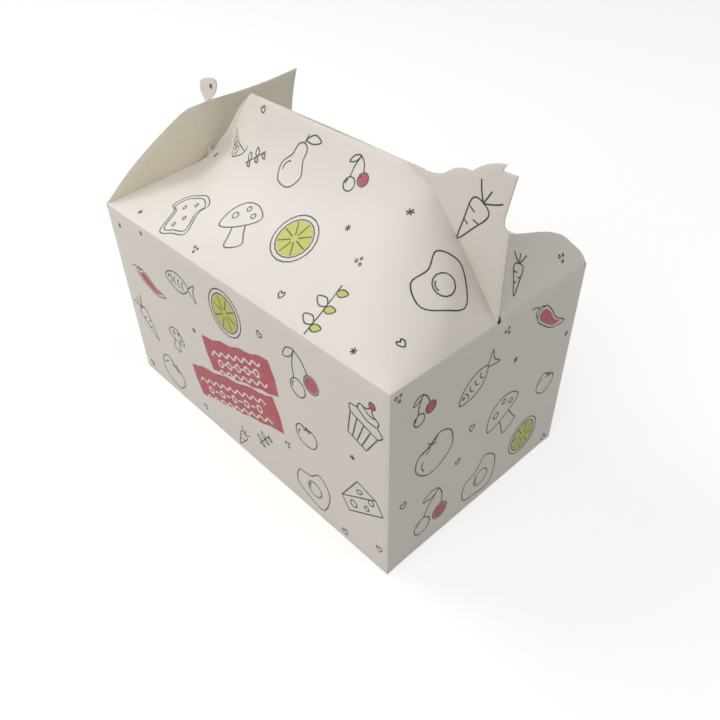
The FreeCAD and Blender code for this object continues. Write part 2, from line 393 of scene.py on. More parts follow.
def left_flap(blank, points):
    """The standing left flap, in two parts that meet above and below the hook's slit."""
    hy = points["hy"]

    def middle(rise):
        return (rise - SLIT_LOW) * MM * math.tan(HOOK_TILT) - points["layer"]

    foot, heel = left_plane(points, -hy, 0), left_plane(points, hy, 0)
    shoulder = left_plane(points, -hy + 45 * MM, 36.2)
    shoulder_end = left_plane(points, -hy + 49 * MM, 37.6)
    crown = left_plane(points, middle(LEFT_CROWN_RISE), LEFT_CROWN_RISE)
    tip = left_plane(points, hy - 1 * MM, LEFT_TIP_RISE)
    base = left_plane(points, middle(0), 0)
    slit = []
    for rise in (SLIT_LOW, SLIT_HIGH):
        slit.append([left_plane(points, middle(rise) + HALF_SLIT * way, rise) for way in (-1, 0, 1)])
    (low_a, low_m, low_b), (high_a, high_m, high_b) = slit
    up_front = Vector((0, -1, 1)).normalized()
    front = bowed(foot, shoulder, 2.4 * MM, up_front, 12) + [shoulder, shoulder_end, crown]
    front += [high_m, high_a, low_a, low_m, base]
    blank.panel(front, Vector((-1, 0, 0)))
    rear = [base, low_m, low_b, high_b, high_m, crown] + bowed(crown, tip, -0.8 * MM, UP)[1:]
    rear += bowed(tip, heel, 2.0 * MM, Vector((0, -1, 0))) + [heel]
    blank.panel(rear, Vector((-1, 0, 0)))


def hook(blank, points):
    """The hook: a neck out through the flap's slit and up beside it, and a wide head."""
    low, knee = HOOK_NECK[0][1], HOOK_NECK[-1][1]

    def spot(inset, rise):
        depth = (rise - low) * MM * math.tan(HOOK_TILT) - points["layer"]
        return Vector((inset * MM - points["hx"], depth, points["eave"] + rise * MM))

    def beside_flap(rise):
        return rise * math.tan(LEFT_LEAN) - HOOK_STANDOFF

    sleeve = [(beside_flap(rise), rise) for rise in (knee + 3.8, 39.0)]
    outline = [spot(*place) for place in (*HOOK_NECK, *sleeve, *HOOK_FACE)]
    blank.panel(rounded(outline, 3), Vector((0, -1, 0)), 1.2 * MM)


def rounded(outline, rounds):
    """The same outline with its corners cut, and cut again."""
    for _ in range(rounds):
        cut = []
        for first, second in zip(outline, outline[1:] + outline[:1]):
            cut += [first.lerp(second, 0.2), first.lerp(second, 0.8)]
        outline = cut
    return outline


def right_front(blank, p, points):
    """The leaned-in front half of the right end: soft corner, scored half, strip and hook tab."""
    hx, layer = points["hx"], points["layer"]
    eave, low, high, top = [p[name + "right"] for name in ("eave_", "low_", "high_", "top_")]
    middle = Vector((hx, -STOP_RADIUS, points["eave"]))

    def at(inset, rise):
        return Vector((hx - inset * MM, -layer, points["eave"] + rise * MM))

    score_top = at(*SCORE_TOP)
    score_end = towards(p["tab_start"], score_top, CORNER_SOFTNESS)
    blank.panel([eave, low, high, top], Vector((-0.2, -1, 1)))
    blank.panel([eave, top, score_end], Vector((1, 0, 1)))
    blank.panel([eave, score_end, score_top], Vector((1, 0, 1)))
    blank.panel([eave, score_top, middle], Vector((1, 0, 1)))
    foot = at(0, 1.5)
    blank.panel([middle, score_top, foot], Vector((0.1, -1, 0)), 2.0 * MM)
    outward = Vector((-0.4, 0, 1))
    outline = [foot, score_top, score_end, top] + [at(*place) for place in TAB_STEP]
    outline += bowed(at(*TAB_STEP[-1]), at(*TAB_CREST), 0.9 * MM, outward, 5)
    outline += bowed(at(*TAB_CREST), at(*TAB_HORN), 1.3 * MM, outward, 7)
    outline += bowed(at(*TAB_HORN), at(*TAB_NOTCH), 1.0 * MM, Vector((-1, 0, 0)), 4)
    outline += [at(*place) for place in (*TAB_CORNER, TAB_WAIST)]
    outline += bowed(at(*TAB_WAIST), at(*TAB_FOOT[0]), 0.9 * MM, Vector((-1, 0, -1)), 4)
    outline.append(at(*TAB_FOOT[1]))
    blank.panel(outline, Vector((0, -1, 0)), 2.4 * MM)
    blank.folds += [
        (eave, low, MIDDLE_BEND),
        (low, high, CORNER_SOFTNESS),
        (high, top, CORNER_SOFTNESS),
        (eave, top, 13 * MM),
        (eave, score_end, 13 * MM),
        (score_top, score_end, CLOSE_BEND),
    ]
    blank.fixed += [(middle, score_top), (foot, at(0, 38))]


def right_rear(blank, points):
    """The rear half of the right end flap, leaned in, with its bowed free edge."""
    foot = Vector((points["hx"], STOP_RADIUS, points["eave"]))
    edge = [right_plane(points, y * MM, rise) for y, rise in REAR_EDGE]
    outline = [foot, right_plane(points, STOP_RADIUS, 4.0)] + edge + [right_plane(points, points["hy"], 0)]
    blank.panel(outline, Vector((1, 0, 0.4)), 2.8 * MM)


def soften(blank, sizes):
    """Rounds the soft bends by smoothing near them; returns how strongly each point was smoothed."""
    core, pull = 0.35, 0.55
    mesh = blank.mesh
    mesh.verts.ensure_lookup_table()
    mesh.verts.index_update()
    place = np.array([tuple(v.co) for v in mesh.verts])
    weight = np.zeros(len(place))
    for start, end, radius in blank.folds:
        gap = distance_to_run(place, start, end)
        share = np.clip(1 + core - gap / radius, 0, 1)
        weight = np.maximum(weight, share * share * (3 - 2 * share))
    for start, end in blank.fixed:
        weight[distance_to_run(place, start, end) < 2 * HAIR] = 0
    pairs = np.array([[v.index for v in edge.verts] for edge in mesh.edges])
    rim = np.array([edge.is_boundary for edge in mesh.edges])
    weight[pairs[rim].ravel()] = 0
    for _ in range(sizes.softening):
        total = np.zeros_like(place)
        count = np.zeros(len(place))
        for first, second in ((0, 1), (1, 0)):
            np.add.at(total, pairs[:, first], place[pairs[:, second]])
            np.add.at(count, pairs[:, first], 1)
        mean = total / count[:, None]
        place += (mean - place) * (pull * weight)[:, None]
    for vertex, spot in zip(mesh.verts, place):
        vertex.co = spot
    return weight


def distance_to_run(place, start, end):
    """Distance of each point from a straight run."""
    start, end = np.array(start), np.array(end)
    run = end - start
    share = np.clip(((place - start) @ run) / (run @ run), 0, 1)
    return np.linalg.norm(place - start - share[:, None] * run, axis=1)


def ramp(value, start, reach):
    """Zero up to start, one from start + reach on, and straight between."""
    return min(1, max(0, (value - start) / reach))


def lean_back(mesh, points, sizes):
    """Rolls both sheets back a little where they run towards the hook."""
    for vertex in mesh.verts:
        x, y, z = vertex.co
        run = ramp(-x, 48 * MM, 34 * MM)
        home = 1 - ramp(-x, 84 * MM, 14 * MM)
        rise = ramp(z, points["eave"] + 4 * MM, 8 * MM)
        near = 1 - ramp(abs(y), 1 * MM, 17 * MM)
        vertex.co.y += sizes.wing_roll * run * run * (3 - 2 * run) * home * rise * near


def bow_walls(mesh, points, sizes):
    """A slight outward bow on each wall, and slow waves over the whole board."""
    hx, hy, eave = points["hx"], points["hy"], points["eave"]
    mesh.normal_update()
    shifts = []
    for vertex in mesh.verts:
        x, y, z = vertex.co
        shift = Vector()
        if z < eave - HAIR:
            rise = math.sin(math.pi * z / eave)
            if abs(abs(y) - hy) < HAIR:
                shift.y = math.copysign(sizes.wall_bulge * rise * math.cos(math.pi * x / (2 * hx)), y)
            if abs(abs(x) - hx) < HAIR:
                shift.x = math.copysign(sizes.wall_bulge * rise * math.cos(math.pi * y / (2 * hy)), x)
        elif z > eave + HAIR:
            wave = math.sin(x * 61 + 1.3) * math.cos(y * 97 + z * 43) + math.sin(x * 23 - z * 57 + 0.7)
            fade = min(1, (z - eave) / (12 * MM))
            shift = vertex.normal * (sizes.waviness * wave * fade)
        shifts.append(shift)
    for vertex, shift in zip(mesh.verts, shifts):
        vertex.co += shift


class CARTON_OT_board(Operator):
    """Build the folded board that stands for the plain solid"""

    bl_idname = "carton.board"
    bl_label = "Folded Board"

    def execute(self, context):
        sizes = context.scene.carton_sizes
        points = shape_points(sizes)
        blank = Blank(sizes.mesh_step)
        wall_panels(blank, points, sizes)
        bottom_panels(blank, points, sizes)
        for name, side in (("front", -1), ("back", 1)):
            long_side(blank, points[name], side)
        for name, end, side in (("front", "left", -1), ("back", "left", 1), ("back", "right", 1)):
            tucked_corner(blank, points[name], end, side)
        right_front(blank, points["front"], points)
        right_rear(blank, points)
        lean_back(blank.mesh, points, sizes)
        left_flap(blank, points)
        worn = list(soften(blank, sizes))
        bow_walls(blank.mesh, points, sizes)
        hook(blank, points)
        mesh = bpy.data.meshes.new("folded_board")
        blank.mesh.to_mesh(mesh)
        blank.mesh.free()
        worn += [0.0] * (len(mesh.vertices) - len(worn))
        mesh.attributes.new("bend_wear", "FLOAT", "POINT").data.foreach_set("value", worn)
        for material in board_materials():
            mesh.materials.append(material)
        raw = bpy.data.objects.new("folded_board_raw", mesh)
        context.collection.objects.link(raw)
        board = thicken(context, raw, sizes)
        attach(board, CAD_BODY)
        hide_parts(CAD_NODE)
        return {"FINISHED"}


def thicken(context, raw, sizes):
    """Gives the middle surface the board's thickness and soft edges, as a plain mesh."""
    wall = raw.modifiers.new("board_thickness", "SOLIDIFY")
    wall.thickness = sizes.board
    wall.offset = 0.0
    wall.use_even_offset = True
    wall.use_quality_normals = True
    wall.material_offset = 1
    wall.material_offset_rim = 2
    edge = raw.modifiers.new("soft_edges", "BEVEL")
    edge.width = 0.16 * MM
    edge.segments = 2
    edge.limit_method = "ANGLE"
    edge.angle_limit = math.radians(32)
    return plain_copy(context, raw, "folded_board")


def plain_copy(context, raw, name):
    """The evaluated object as a plain mesh with smooth shading; the raw one is removed."""
    context.view_layer.update()
    ready = raw.evaluated_get(context.evaluated_depsgraph_get())
    mesh = bpy.data.meshes.new_from_object(ready)
    mesh.name = name
    made = bpy.data.objects.new(name, mesh)
    context.collection.objects.link(made)
    bpy.data.objects.remove(raw)
    mesh.shade_smooth()
    mesh.set_sharp_from_angle(angle=math.radians(40))
    return made


# Materials

def node_maker(tree):
    """A function that adds a node, with its settings set and its inputs linked or filled."""

    def make(kind, inputs=None, **settings):
        node = tree.nodes.new(kind)
        for key, value in settings.items():
            setattr(node, key, value)
        for key, value in (inputs or {}).items():
            if isinstance(value, bpy.types.NodeSocket):
                tree.links.new(value, node.inputs[key])
            else:
                node.inputs[key].default_value = value
        return node

    return make


def node_material(name):
    """A material with a Principled shader; returns the material, its node maker and the shader."""
    material = bpy.data.materials.new(name)
    material.use_nodes = True
    tree = material.node_tree
    return material, node_maker(tree), tree.nodes["Principled BSDF"]


def link(material, output, socket):
    """Joins two sockets of a material."""
    material.node_tree.links.new(output, socket)


def paper(name, colour, fibre, gloss, mottle):
    """Board seen from one side: slow mottling, fine fibre, and paler where it was bent."""
    material, make, shader = node_material(name)
    place = make("ShaderNodeTexCoord").outputs["Object"]
    slow = make("ShaderNodeTexNoise", {"Vector": place, "Scale": 38.0, "Detail": 4.0, "Roughness": 0.55})
    stretched = make("ShaderNodeMapping", {"Vector": place, "Scale": (1.0, 0.45, 0.7)})
    fine = make("ShaderNodeTexNoise", {"Vector": stretched.outputs["Vector"], "Scale": 1400.0, "Detail": 5.0,
                                       "Roughness": 0.65})
    speck = make("ShaderNodeTexNoise", {"Vector": place, "Scale": 420.0, "Detail": 2.0})
    dark = tuple(value * (1 - mottle) for value in colour)
    light = tuple(min(1, value * (1 + mottle * 0.6)) for value in colour)
    tone = make("ShaderNodeMix", {0: slow.outputs["Fac"], 6: (*dark, 1), 7: (*light, 1)}, data_type="RGBA")
    grain = make("ShaderNodeMapRange", {"Value": fine.outputs["Fac"], "From Min": 0.3, "From Max": 0.7,
                                        "To Min": 1 - fibre, "To Max": 1 + fibre * 0.5})
    grained = make("ShaderNodeVectorMath", {0: tone.outputs[2], "Scale": grain.outputs["Result"]},
                   operation="SCALE")
    worn = make("ShaderNodeAttribute", attribute_name="bend_wear")
    stress = make("ShaderNodeMath", {0: worn.outputs["Fac"], 1: speck.outputs["Fac"]}, operation="MULTIPLY")
    faded = make("ShaderNodeMath", {0: stress.outputs[0], 1: 0.10}, operation="MULTIPLY")
    whitened = make("ShaderNodeMix", {0: faded.outputs[0], 6: grained.outputs[0], 7: (0.92, 0.91, 0.89, 1)},
                    data_type="RGBA")
    link(material, whitened.outputs[2], shader.inputs["Base Color"])
    rough = make("ShaderNodeMapRange", {"Value": slow.outputs["Fac"], "From Min": 0.3, "From Max": 0.7,
                                        "To Min": gloss - 0.04, "To Max": gloss + 0.06})
    link(material, rough.outputs["Result"], shader.inputs["Roughness"])
    bump = make("ShaderNodeBump", {"Height": fine.outputs["Fac"], "Strength": 0.10 + fibre,
                                   "Distance": 0.00008})
    link(material, bump.outputs["Normal"], shader.inputs["Normal"])
    shader.inputs["Specular IOR Level"].default_value = 0.35
    return material


def board_materials():
    """Coated outside, uncoated inside and cut edge, in the order of the board's slots."""
    colours = bpy.context.scene.carton_colours
    return [
        paper("coated_outside", tuple(colours.outside), fibre=0.02, gloss=0.46, mottle=0.025),
        # The inside colour carries painted light: it is set paler than the bare board to stand in for light
        # shining through and bouncing onto the flap's inner face.
        paper("uncoated_inside_with_painted_light", tuple(colours.inside), fibre=0.05, gloss=0.82, mottle=0.05),
        paper("cut_edge", tuple(colours.core), fibre=0.06, gloss=0.88, mottle=0.04),
    ]


def ink(name, colour, thin):
    """Flexo ink: nearly flat colour that lets a little board through in fine specks."""
    material, make, shader = node_material(name)
    place = make("ShaderNodeTexCoord").outputs["Object"]
    speck = make("ShaderNodeTexNoise", {"Vector": place, "Scale": 1100.0, "Detail": 3.0, "Roughness": 0.7})
    slow = make("ShaderNodeTexNoise", {"Vector": place, "Scale": 160.0, "Detail": 2.0})
    both = make("ShaderNodeMath", {0: speck.outputs["Fac"], 1: slow.outputs["Fac"]}, operation="MULTIPLY")
    show = make("ShaderNodeMapRange", {"Value": both.outputs[0], "From Min": 0.22, "From Max": 0.42,
                                       "To Min": 0.0, "To Max": thin})
    outside = tuple(bpy.context.scene.carton_colours.outside)
    tone = make("ShaderNodeMix", {0: show.outputs["Result"], 6: (*colour, 1), 7: (*outside, 1)},
                data_type="RGBA")
    link(material, tone.outputs[2], shader.inputs["Base Color"])
    rough = make("ShaderNodeMapRange", {"Value": slow.outputs["Fac"], "To Min": 0.40, "To Max": 0.60})
    link(material, rough.outputs["Result"], shader.inputs["Roughness"])
    return material


# Artwork: each motif is a list of strokes in its own square, one unit from middle to side

def curve(*points, closed=False, steps=5):
    """A smooth line through a few points."""
    places = [Vector(p) for p in points]
    count = len(places)
    spans = count if closed else count - 1
    made = []
    for span in range(spans):
        if closed:
            a, b, c, d = [places[(span + k) % count] for k in (-1, 0, 1, 2)]
        else:
            a, b, c, d = [places[min(max(span + k, 0), count - 1)] for k in (-1, 0, 1, 2)]
        for index in range(steps):
            t = index / steps
            made.append(0.5 * (2 * b + (c - a) * t + (2 * a - 5 * b + 4 * c - d) * t * t
                               + (3 * b - a - 3 * c + d) * t ** 3))
    if not closed:
        made.append(places[-1])
    return made, closed


def ring(x, y, wide, high=None, start=0.0, turn=360.0, steps=14):
    """A whole ellipse, or the part of it that a turn covers."""
    high = wide if high is None else high
    closed = turn >= 360
    count = steps if closed else max(3, round(steps * turn / 360)) + 1
    last = steps if closed else count - 1
    made = []
    for index in range(count):
        angle = math.radians(start + turn * index / last)
        made.append(Vector((x + wide * math.cos(angle), y + high * math.sin(angle))))
    return made, closed


def straight(*points, closed=False):
    """A line of straight runs through a few points."""
    return [Vector(p) for p in points], closed


def carrot():
    body = curve((0, -1), (0.2, -0.3), (0.34, 0.3), (0.2, 0.52), (-0.2, 0.52), (-0.34, 0.3), (-0.2, -0.3),
                 closed=True)
    leaves = [curve((0, 0.52), (x, 0.8), (x * 1.6, 1.02)) for x in (-0.28, 0.0, 0.28)]
    cuts = [straight((-0.28, 0.12), (-0.05, 0.1)), straight((0.24, -0.08), (0.04, -0.12)),
            straight((-0.16, -0.35), (0.0, -0.38))]
    return [body] + leaves + cuts, []


def mushroom():
    cap = curve((-0.85, 0.05), (-0.6, 0.65), (0, 0.9), (0.6, 0.65), (0.85, 0.05), (0, -0.12), closed=True)
    stem = curve((-0.26, -0.08), (-0.3, -0.5), (-0.36, -0.9), (0, -1), (0.36, -0.9), (0.3, -0.5),
                 (0.26, -0.08))
    spots = [ring(-0.3, 0.42, 0.13, steps=8), ring(0.22, 0.6, 0.1, steps=8), ring(0.48, 0.24, 0.1, steps=8)]
    return [cap, stem] + spots, []


def cherries():
    fruit = [ring(-0.42, -0.5, 0.38), ring(0.45, -0.35, 0.36)]
    stems = [curve((-0.42, -0.14), (-0.2, 0.4), (0.2, 0.9)), curve((0.45, 0.0), (0.42, 0.5), (0.2, 0.9))]
    leaf = curve((0.2, 0.9), (-0.2, 0.98), (-0.55, 0.7), (-0.15, 0.66), closed=True)
    shine = [ring(-0.48, -0.44, 0.2, start=100, turn=80), ring(0.4, -0.3, 0.19, start=100, turn=80)]
    return fruit + stems + [leaf] + shine, [("red", ring(0.45, -0.35, 0.31))]


def citrus():
    spokes = []
    for index in range(8):
        angle = math.radians(45 * index + 12)
        way = Vector((math.cos(angle), math.sin(angle)))
        spokes.append(straight(way * 0.14, way * 0.62))
    field = [("green", ring(0, 0, 0.66))]
    return [ring(0, 0, 0.86, steps=20), ring(0, 0, 0.7, steps=18)] + spokes, field


def fish():
    body = curve((-0.95, 0), (-0.5, 0.36), (0.1, 0.38), (0.55, 0.08), (0.1, -0.34), (-0.5, -0.32),
                 closed=True)
    tail = curve((0.55, 0.08), (0.98, 0.42), (0.86, 0.04), (0.98, -0.34), (0.55, 0.0))
    scales = [ring(x, 0.02, 0.1, 0.16, start=90, turn=180, steps=10) for x in (-0.28, -0.02, 0.24)]
    gill = ring(-0.72, 0.0, 0.2, 0.24, start=-50, turn=100)
    return [body, tail, ring(-0.7, 0.08, 0.05, steps=6), gill] + scales, []


def cheese():
    side = straight((-0.9, -0.5), (0.9, -0.5), (0.9, 0.1), (-0.9, 0.1), closed=True)
    top = straight((-0.9, 0.1), (0.35, 0.72), (0.9, 0.1))
    holes = [ring(-0.45, -0.2, 0.15, steps=9), ring(0.2, -0.28, 0.1, steps=8)]
    holes += [ring(0.58, -0.02, 0.12, steps=8), ring(0.2, 0.32, 0.14, 0.08, steps=9)]
    return [side, top] + holes, []


def fried_egg():
    white = curve((-0.9, 0.1), (-0.5, 0.7), (0.1, 0.6), (0.7, 0.75), (0.9, 0.1), (0.55, -0.5), (0.05, -0.85),
                  (-0.45, -0.5), closed=True)
    return [white, ring(0.05, 0.02, 0.34), ring(0.0, 0.06, 0.2, start=100, turn=90)], []


def cupcake():
    cup = straight((-0.6, -0.05), (-0.42, -0.95), (0.42, -0.95), (0.6, -0.05), closed=True)
    pleats = [straight((x, -0.05), (x * 0.7, -0.95)) for x in (-0.3, 0.0, 0.3)]
    swirl = curve((-0.6, -0.05), (-0.72, 0.22), (-0.45, 0.38), (-0.42, 0.6), (-0.15, 0.68), (0, 0.86),
                  (0.15, 0.68), (0.42, 0.6), (0.45, 0.38), (0.72, 0.22), (0.6, -0.05))
    folds = [curve((-0.45, 0.38), (0, 0.26), (0.4, 0.36)), curve((-0.3, 0.64), (0, 0.54), (0.26, 0.62))]
    return [cup, swirl, ring(0, 0.98, 0.13, steps=9)] + pleats + folds, [("red", ring(0, 0.98, 0.1, steps=9))]


def pear():
    body = curve((0, 0.55), (0.24, 0.4), (0.3, 0.02), (0.56, -0.42), (0.3, -0.9), (-0.3, -0.9),
                 (-0.56, -0.42), (-0.3, 0.02), (-0.24, 0.4), closed=True)
    leaf = curve((0.02, 0.68), (0.3, 0.95), (0.66, 0.86), (0.34, 0.66), closed=True)
    return [body, straight((0, 0.55), (0.02, 0.86)), leaf, ring(-0.1, -0.46, 0.3, start=110, turn=90)], []


def pepper():
    body = curve((-0.5, 0.62), (-0.15, 0.6), (0.1, 0.2), (0.3, -0.3), (0.75, -0.85), (0.1, -0.6),
                 (-0.35, -0.1), (-0.6, 0.3), closed=True)
    cap = curve((-0.62, 0.42), (-0.66, 0.7), (-0.4, 0.78), (-0.2, 0.6))
    stalk = curve((-0.5, 0.74), (-0.62, 0.92), (-0.84, 1.0))
    field = curve((-0.44, 0.52), (-0.18, 0.48), (0.04, 0.14), (0.22, -0.32), (0.5, -0.64), (0.08, -0.48),
                  (-0.3, -0.04), (-0.5, 0.28), closed=True)
    return [body, cap, stalk], [("red", field)]


def sprig():
    stem = curve((-0.56, -0.72), (-0.2, -0.2), (0.42, 0.78))
    strokes, fields = [stem], []
    roots = ((-0.42, -0.5, 1), (-0.34, -0.4, -1), (-0.05, 0.05, 1), (0.02, 0.15, -1), (0.28, 0.55, 1))
    for x, y, way in roots:
        reach = Vector((0.34, -0.1)) if way > 0 else Vector((-0.3, 0.32))
        root = Vector((x, y))
        side = Vector((-reach.y, reach.x)) * 0.36
        middle = root + reach * 0.5
        leaf = curve(root, middle + side, root + reach * 1.15, middle - side, closed=True)
        strokes.append(leaf)
        if way > 0:
            fields.append(("green", leaf))
    return strokes, fields


def bread_slice():
    crust = [(-0.6, -0.86), (-0.58, 0.05), (-0.84, 0.42), (-0.5, 0.84), (0, 0.9), (0.5, 0.84), (0.84, 0.42),
             (0.58, 0.05), (0.6, -0.86), (0, -0.9)]
    crumb = [(x * 0.82, y * 0.84) for x, y in crust]
    spots = ((-0.22, 0.3), (0.26, 0.42), (0.1, -0.2), (-0.18, -0.5))
    holes = [ring(x, y, 0.06, 0.09, steps=7) for x, y in spots]
    return [curve(*crust, closed=True), curve(*crumb, closed=True)] + holes, []


def teacup():
    bowl = curve((-0.62, 0.2), (-0.56, -0.3), (-0.28, -0.62), (0.28, -0.62), (0.56, -0.3), (0.62, 0.2))
    rim = ring(0, 0.2, 0.62, 0.14, steps=18)
    handle = curve((0.6, 0.08), (0.92, 0.1), (0.88, -0.22), (0.52, -0.34))
    saucer = ring(0, -0.74, 0.8, 0.14, start=180, turn=180, steps=20)
    steam = [curve((x, 0.46), (x + 0.1, 0.6), (x - 0.06, 0.76), (x + 0.06, 0.94)) for x in (-0.2, 0.16)]
    return [bowl, rim, handle, saucer] + steam, []


def tomato():
    body = curve((0, 0.5), (0.5, 0.55), (0.82, 0.1), (0.6, -0.55), (0, -0.74), (-0.6, -0.55), (-0.82, 0.1),
                 (-0.5, 0.55), closed=True)
    star = []
    for index in range(5):
        angle = math.radians(90 + 72 * index)
        tip = Vector((math.cos(angle) * 0.42, 0.48 + math.sin(angle) * 0.2))
        star.append(curve((0, 0.48), tip * 0.6 + Vector((0.05, 0.16)), tip))
    return [body, ring(-0.3, -0.1, 0.32, start=120, turn=80)] + star, []


def pea_pod():
    pod = curve((-0.95, 0.3), (-0.4, -0.18), (0.3, -0.22), (0.95, 0.3), (0.3, 0.3), (-0.4, 0.32), closed=True)
    peas = [ring(x, 0.06 - 0.04 * abs(x), 0.15, steps=9) for x in (-0.42, -0.06, 0.3)]
    return [pod] + peas + [curve((0.95, 0.3), (1.0, 0.45), (0.92, 0.55))], [("green", peas[1])]


def small_heart():
    return [curve((0, -0.5), (0.5, 0.1), (0.3, 0.5), (0, 0.24), (-0.3, 0.5), (-0.5, 0.1), closed=True)], []


def small_star():
    rays = []
    for index in range(3):
        angle = math.radians(60 * index)
        way = Vector((math.cos(angle), math.sin(angle))) * 0.45
        rays.append(straight(-way, way))
    return rays, []


def small_seeds():
    seeds = ((-0.45, 0.1, 0.2), (0.2, 0.4, 0.16), (0.25, -0.35, 0.18))
    return [ring(x, y, wide, steps=7) for x, y, wide in seeds], []


MOTIFS = (carrot, citrus, mushroom, fish, cherries, cheese, pepper, teacup, cupcake, pear, sprig, fried_egg,
          tomato, bread_slice, pea_pod)
SMALL_MOTIFS = (cherries, sprig, pea_pod, mushroom, tomato, carrot, pear)
FILLERS = (small_star, small_heart, small_seeds)


def inside(spot, outline):
    """Whether a flat spot lies within a closed outline."""
    within = False
    for first, second in zip(outline, outline[1:] + outline[:1]):
        if (first.y > spot.y) != (second.y > spot.y):
            if spot.x < first.x + (spot.y - first.y) / (second.y - first.y) * (second.x - first.x):
                within = not within
    return within


def turn_flat(point, angle, size=1):
    """A flat point turned about the origin and scaled."""
    cos, sin = math.cos(angle) * size, math.sin(angle) * size
    return Vector((point.x * cos - point.y * sin, point.x * sin + point.y * cos))


class Face:
    """A flat stretch of the printed side that takes motifs."""

    def __init__(self, outline, outward):
        normal = Vector()
        for first, second in zip(outline, outline[1:] + outline[:1]):
            normal += first.cross(second)
        normal.normalize()
        if normal.dot(outward) < 0:
            normal.negate()
        self.normal = normal
        self.along = UP.cross(normal).normalized()
        self.rise = normal.cross(self.along)
        self.origin = sum(outline, Vector()) / len(outline)
        self.outline = [self.flat(p) for p in outline]
        self.keep_off = []

    def flat(self, place):
        """A place as a flat spot on the face."""
        return Vector(((place - self.origin).dot(self.along), (place - self.origin).dot(self.rise)))

    def random_spot(self, chance):
        """A spot somewhere in the box around the outline."""
        xs, ys = [p.x for p in self.outline], [p.y for p in self.outline]
        return Vector((chance.uniform(min(xs), max(xs)), chance.uniform(min(ys), max(ys))))

    def place(self, spot):
        """A flat spot as a place on the carton."""
        return self.origin + self.along * spot.x + self.rise * spot.y

    def room(self, spot):
        """How far a spot is inside the outline; less than zero outside."""
        least = 1.0
        for first, second in zip(self.outline, self.outline[1:] + self.outline[:1]):
            run = second - first
            share = min(1, max(0, (spot - first).dot(run) / run.length_squared))
            least = min(least, (spot - first - run * share).length)
        return least if inside(spot, self.outline) else -least


class Artwork:
    """Collects flat lines and fields that hover over the faces, each with the way down."""

    def __init__(self):
        self.lines = {ink_name: {"spots": [], "edges": [], "aims": []} for ink_name in ("black", "pale")}
        self.fields = {"green": [], "red": []}

    def stamp(self, face, spot, motif, size, turn):
        """Sets one motif on a face, turned and scaled about its spot."""
        strokes, fields = motif()

        def settle(point):
            return face.place(spot + turn_flat(point, turn, size / 2)) + face.normal * HOVER

        for points, closed in strokes:
            self.add_line("black", [settle(p) for p in points], closed, -face.normal)
        for colour, (points, _) in fields:
            self.fields[colour].append(([settle(p) for p in points], -face.normal))

    def add_line(self, ink_name, places, closed, aim):
        """Adds a line in steps short enough to follow a bend."""
        lines = self.lines[ink_name]
        first = len(lines["spots"])
        stops = places + places[:1] if closed else places
        places = []
        for start, end in zip(stops, stops[1:]):
            steps = max(1, math.ceil((end - start).length / LINE_STEP))
            places += [start.lerp(end, index / steps) for index in range(steps)]
        if not closed:
            places.append(stops[-1])
        lines["spots"] += places
        lines["aims"] += [aim] * len(places)
        pairs = [(first + index, first + index + 1) for index in range(len(places) - 1)]
        if closed:
            pairs.append((first + len(places) - 1, first))
        lines["edges"] += pairs


def printed_faces(points):
    """Every printed face of the folded blank, the front wall first."""
    hx, hy, eave, layer = points["hx"], points["hy"], points["eave"], points["layer"]

    def wall(start, end, out):
        low = [Vector((*start, 0)), Vector((*end, 0))]
        return Face(low + [Vector((*end, eave)), Vector((*start, eave))], Vector((*out, 0)))

    faces = [wall((-hx, side * hy), (hx, side * hy), (0, side)) for side in (-1, 1)]
    faces += [wall((end * hx, -hy), (end * hx, hy), (end, 0)) for end in (-1, 1)]
    for name, side in (("front", -1), ("back", 1)):
        p = points[name]
        out = Vector((0, side, 1))
        faces.append(Face([p["eave_left"], p["eave_right"], p["bend_right"], p["bend_left"]], out))
        faces.append(Face([p["bend_left"], p["bend_right"], p["top_right"], p["top_left"]], out))
        faces.append(Face([p["valley_left"], p["bend_left"], p["top_left"]], Vector((0, side, 0.5))))
    front = points["front"]
    middle = Vector((hx, -STOP_RADIUS, eave))
    score_top = Vector((hx - SCORE_TOP[0] * MM, -layer, eave + SCORE_TOP[1] * MM))
    faces.append(Face([front["eave_right"], middle, score_top, front["top_right"]], Vector((1, 0, 1))))
    tab = [(40, 49), (20, 56), (5, 62), (1, 59), (3, 43), (0, 40), (0, 20), SCORE_TOP]
    spots = [Vector((hx - inset * MM, -layer, eave + rise * MM)) for inset, rise in tab]
    faces.append(Face(spots, Vector((0, -1, 0))))
    rear = [(STOP_RADIUS, 0), (STOP_RADIUS, 25), (10.5 * MM, 24.6), (40 * MM, 16.4), (hy, 0)]
    faces.append(Face([right_plane(points, y, rise) for y, rise in rear], Vector((1, 0, 0.4))))
    flap = [(-hy, 0), (-hy + 45 * MM, 37), (hy, LEFT_TIP_RISE), (hy, 0)]
    left = Face([left_plane(points, y, rise) for y, rise in flap], Vector((-1, 0, 0)))
    left.keep_off = [left.flat(left_plane(points, 0, rise)) for rise in range(2, LEFT_TIP_RISE, 4)]
    faces.append(left)
    head = [(1.5, 41.5), (1.2, 45.5), (4, 47.9), (13.8, 50), (16.3, 46.8), (14.9, 43.8), (10, 39)]
    spots = [Vector((inset * MM - hx, 3.5 * MM, eave + rise * MM)) for inset, rise in head]
    faces.append(Face(spots, Vector((0, -1, 0))))
    return faces


